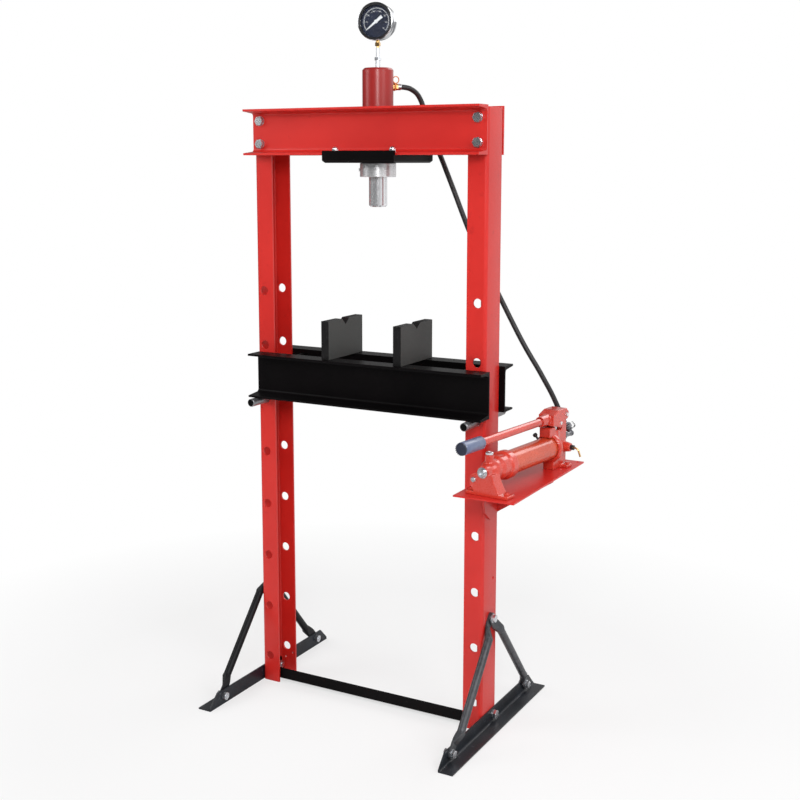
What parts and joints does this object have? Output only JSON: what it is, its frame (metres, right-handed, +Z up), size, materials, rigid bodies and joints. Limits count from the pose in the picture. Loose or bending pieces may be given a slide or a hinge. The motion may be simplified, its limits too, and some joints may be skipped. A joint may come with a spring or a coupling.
{
  "type": "manual hydraulic press",
  "caption": "Floor-standing H-frame press: two drilled posts, bolted channel head with ram and gauge, pinned bolster with V-blocks, and a hand pump on a side tray joined by a hose.",
  "frame": {"origin": "on the floor, midway between the outer faces of the two posts and on the posts' middle plane", "axes": "+X towards the post that carries the pump, +Y to the rear, +Z up"},
  "size_m": [0.9096, 0.5963, 1.8725],
  "materials": {
    "frame_enamel": "glossy red enamel",
    "pump_enamel": "glossy orange-red paint",
    "black_enamel": "glossy black enamel",
    "block_grey": "dark grey, satin",
    "foot_steel": "dark blue-grey, semi-gloss",
    "galvanised": "dark dull zinc",
    "dark_tube": "dark grey, satin",
    "zinc": "bright zinc plate",
    "machined_steel": "turned steel, lightly oiled",
    "hard_chrome": "polished hard chrome",
    "brass": "turned brass",
    "orange_cap": "soft orange plastic",
    "black_plastic": "moulded black plastic",
    "grip_plastic": "blue-grey moulded grip",
    "black_rubber": "smooth black rubber",
    "dial_face": "satin navy black with printed scale",
    "pointer_white": "satin white",
    "lens": "clear, polished"
  },
  "bodies": {
    "frame": {"left_post": "frame_enamel", "right_post": "frame_enamel", "head_channel_front": "frame_enamel", "head_channel_rear": "frame_enamel", "frame_bolts": "zinc", "frame_washers": "zinc", "frame_nuts": "zinc", "base_rail": "black_enamel", "left_foot": "foot_steel", "right_foot": "foot_steel", "left_braces": "dark_tube", "right_braces": "galvanised", "ram_plate": "black_enamel", "ram_plate_bolts": "zinc", "cylinder_barrel": "frame_enamel", "lock_collar": "machined_steel", "collar_set_screw": "machined_steel", "rod_guide": "brass", "rod_seal": "black_rubber", "gauge_adapter": "zinc", "gauge_stem": "brass", "gauge_case": "hard_chrome", "gauge_bezel": "black_plastic", "gauge_dial": "dial_face", "gauge_lens": "lens", "gauge_movement": "brass", "cylinder_fitting": "brass", "fitting_cap": "orange_cap", "hose": "black_rubber", "hose_ferrules": "zinc", "hose_coupler": "zinc", "outlet_elbow": "zinc", "pump_tray": "frame_enamel", "tray_bracket": "frame_enamel", "pump_head": "pump_enamel", "pump_tank": "pump_enamel", "tank_end_cap": "pump_enamel", "tank_plugs": "zinc", "pump_mount_bolts": "pump_enamel", "vent_knob": "black_plastic", "fulcrum_pin": "machined_steel", "return_spring": "zinc"},
    "ram": {"ram_rod": "hard_chrome", "piston": "machined_steel", "piston_seal": "black_rubber"},
    "bolster": {"bolster_channel_front": "black_enamel", "bolster_channel_rear": "black_enamel", "bolster_spacers": "black_enamel", "v_block_left": "block_grey", "v_block_right": "block_grey"},
    "pin_left": {"support_pin_left": "machined_steel"},
    "pin_right": {"support_pin_right": "machined_steel"},
    "lever": {"pump_lever": "pump_enamel", "handle_tube": "pump_enamel", "handle_grip": "grip_plastic", "drive_pin": "machined_steel"},
    "plunger": {"plunger": "machined_steel"},
    "release": {"release_spindle": "brass", "release_lever": "brass"},
    "needle": {"gauge_needle": "pointer_white"}
  },
  "joints": [
    {"name": "ram_slide", "type": "slide", "parent": "frame", "child": "ram", "axis": [0, 0, -1], "range_m": [0, 0.16], "deforming": ["return_spring"]},
    {"name": "bolster_lift", "type": "slide", "parent": "frame", "child": "bolster", "axis": [0, 0, 1], "range_m": [0, 0.3]},
    {"name": "pin_left_slide", "type": "slide", "parent": "frame", "child": "pin_left", "axis": [0, -1, 0], "range_m": [0, 0.24]},
    {"name": "pin_right_slide", "type": "slide", "parent": "frame", "child": "pin_right", "axis": [0, -1, 0], "range_m": [0, 0.24]},
    {"name": "lever_hinge", "type": "hinge", "parent": "frame", "child": "lever", "pos_m": [0.45852, 0.17487, 0.821], "axis": [-0.9925, 0.1219, 0], "range_deg": [0, 60]},
    {"name": "plunger_slide", "type": "slide", "parent": "frame", "child": "plunger", "axis": [0, 0, 1], "range_m": [0, 0.0361]},
    {"name": "release_hinge", "type": "hinge", "parent": "frame", "child": "release", "pos_m": [0.48161, 0.17002, 0.735], "axis": [0.9925, -0.1219, 0], "range_deg": [0, 90]},
    {"name": "needle_hinge", "type": "hinge", "parent": "frame", "child": "needle", "pos_m": [0.012, 0, 1.825], "axis": [-0.1736, 0.9848, 0], "range_deg": [0, 270]}
  ],
  "couplings": [
    {"joint": "plunger_slide", "follows": "lever_hinge", "m_per_rad": 0.034377}
  ]
}
